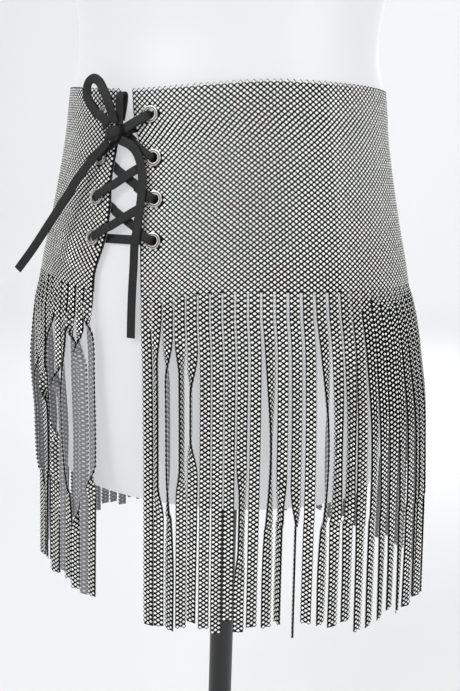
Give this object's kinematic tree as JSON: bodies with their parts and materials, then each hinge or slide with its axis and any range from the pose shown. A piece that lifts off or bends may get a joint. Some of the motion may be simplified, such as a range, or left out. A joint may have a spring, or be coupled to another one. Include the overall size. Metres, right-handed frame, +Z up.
{
  "type": "rhinestone fringe belt on a limbless torso dress form",
  "caption": "Hip belt of stone-set net, laced at one side over a smooth torso form on a pole stand; its lower part is slit into long strands.",
  "frame": {"origin": "centre of the base plate's underside, on the surface the stand rests on", "axes": "+Z up along the pole, -Y towards the front of the form, +X towards its left hip"},
  "size_m": [0.3628, 0.2677, 1.12],
  "materials": {
    "stone_net": "clear stones in dark metal settings on a grey net",
    "eyelet": "polished silver",
    "lace": "matte black flat lace",
    "form": "satin white",
    "stand": "black satin paint"
  },
  "bodies": {
    "root": {"base_plate": "stand", "eyelet_front_1": "eyelet", "eyelet_front_2": "eyelet", "eyelet_front_3": "eyelet", "eyelet_front_4": "eyelet", "eyelet_side_1": "eyelet", "eyelet_side_2": "eyelet", "eyelet_side_3": "eyelet", "eyelet_side_4": "eyelet", "fringe_1": "stone_net", "fringe_2": "stone_net", "lace_bar": "lace", "lace_end_front": "lace", "lace_end_side": "lace", "lace_knot": "lace", "lace_loop_front": "lace", "lace_loop_side": "lace", "lace_run_front_2": "lace", "lace_run_front_3": "lace", "lace_run_front_4": "lace", "lace_run_side_2": "lace", "lace_run_side_3": "lace", "lace_run_side_4": "lace", "lace_tail_front": "lace", "lace_tail_side": "lace", "net_band": "stone_net", "pole": "stand", "pole_socket": "stand", "torso_form": "form"}
  },
  "joints": []
}
